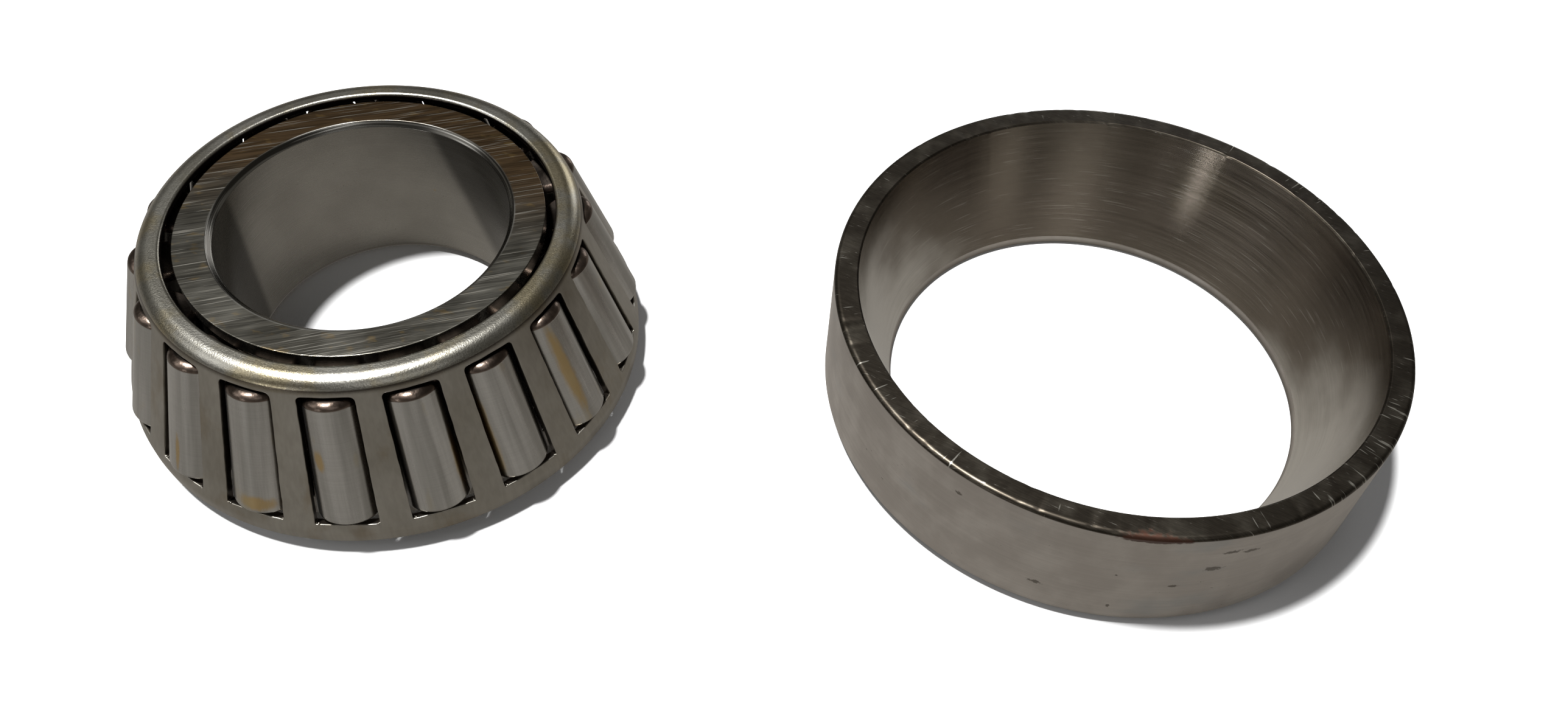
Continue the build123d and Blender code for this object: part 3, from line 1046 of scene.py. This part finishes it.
def make_floor(name, height, colour, glow=0.0):
    """A wide level sheet at this height in metres."""
    half = 1.5
    mesh = bpy.data.meshes.new(name)
    corners = [(-half, -half, 0), (half, -half, 0), (half, half, 0), (-half, half, 0)]
    mesh.from_pydata(corners, [], [(0, 1, 2, 3)])
    sheet = bpy.data.objects.new(name, mesh)
    sheet.location.z = height
    bpy.context.scene.collection.objects.link(sheet)
    material = bpy.data.materials.new(name)
    material.use_nodes = True
    shader = material.node_tree.nodes["Principled BSDF"]
    shader.inputs["Base Color"].default_value = (*colour, 1)
    shader.inputs["Roughness"].default_value = 0.9
    shader.inputs["Specular IOR Level"].default_value = 0.1
    shader.inputs["Emission Color"].default_value = (*colour, 1)
    shader.inputs["Emission Strength"].default_value = glow
    mesh.materials.append(material)
    return sheet


floor = make_floor("floor", -0.0001, (0.9, 0.9, 0.9))
floor.visible_glossy = False
# The steel reflects a greyer table just above it, which nothing else sees
grey_floor = make_floor("floor_in_reflections", -0.00005, (0.09, 0.085, 0.078), glow=1.6)
grey_floor.visible_camera = False
grey_floor.visible_diffuse = False
grey_floor.visible_shadow = False

LIGHTS_AIM = Vector((0.045, 0, 0.01))


def area_light(name, azimuth, elevation, distance, width, power):
    """A round light this far from the object, in metres, and facing it."""
    light = bpy.data.lights.new(name, "AREA")
    light.shape = "DISK"
    light.size = width
    light.energy = power
    lamp = bpy.data.objects.new(name, light)
    a, e = math.radians(azimuth), math.radians(elevation)
    direction = Vector((math.cos(a) * math.cos(e), math.sin(a) * math.cos(e), math.sin(e)))
    lamp.location = LIGHTS_AIM + direction * distance
    lamp.rotation_euler = direction.to_track_quat("Z", "Y").to_euler()
    bpy.context.scene.collection.objects.link(lamp)


area_light("key", azimuth=172, elevation=75, distance=3.0, width=0.36, power=180)
area_light("fill_left", azimuth=200, elevation=35, distance=3.0, width=1.6, power=9)
area_light("fill_front", azimuth=290, elevation=40, distance=3.0, width=1.5, power=5)
area_light("fill_back", azimuth=70, elevation=12, distance=3.0, width=1.2, power=8)
area_light("low_front_left", azimuth=236, elevation=10, distance=1.5, width=0.18, power=1.0)


def make_world():
    """Even white light, which the camera sees as white and the steel's reflections see as a dim room."""
    world = bpy.data.worlds.new("studio")
    bpy.context.scene.world = world
    world.use_nodes = True
    tree = world.node_tree
    background = tree.nodes["Background"]
    background.inputs["Color"].default_value = (0.8, 0.8, 0.82, 1)
    background.inputs["Strength"].default_value = 0.1
    room = tree.nodes.new("ShaderNodeBackground")
    room.inputs["Color"].default_value = (0.07, 0.066, 0.058, 1)
    beyond = tree.nodes.new("ShaderNodeBackground")
    beyond.inputs["Color"].default_value = (1, 1, 1, 1)
    path = tree.nodes.new("ShaderNodeLightPath")
    seen = background.outputs[0]
    for ray, other in (("Is Glossy Ray", room), ("Is Camera Ray", beyond)):
        switch = tree.nodes.new("ShaderNodeMixShader")
        tree.links.new(path.outputs[ray], switch.inputs[0])
        tree.links.new(seen, switch.inputs[1])
        tree.links.new(other.outputs[0], switch.inputs[2])
        seen = switch.outputs[0]
    tree.links.new(seen, tree.nodes["World Output"].inputs["Surface"])


CAMERA_PLACE = Vector((0.04819, -0.10598, 0.12897))
CAMERA_AIM = Vector((0.00885, 0.64288, -0.76592))
CAMERA_UP = Vector((-0.06160, 0.76484, 0.64126))
FOCAL_LENGTH = 29.749


def make_camera():
    data = bpy.data.cameras.new("camera")
    data.sensor_width = 36
    data.lens = FOCAL_LENGTH
    data.clip_start = 0.005
    camera = bpy.data.objects.new("camera", data)
    right = CAMERA_AIM.cross(CAMERA_UP).normalized()
    up = right.cross(CAMERA_AIM).normalized()
    turn = Matrix((right, up, -CAMERA_AIM.normalized())).transposed()
    camera.matrix_world = Matrix.Translation(CAMERA_PLACE) @ turn.to_4x4()
    bpy.context.scene.collection.objects.link(camera)
    bpy.context.scene.camera = camera


make_world()
make_camera()
bpy.context.scene.view_settings.view_transform = "Standard"
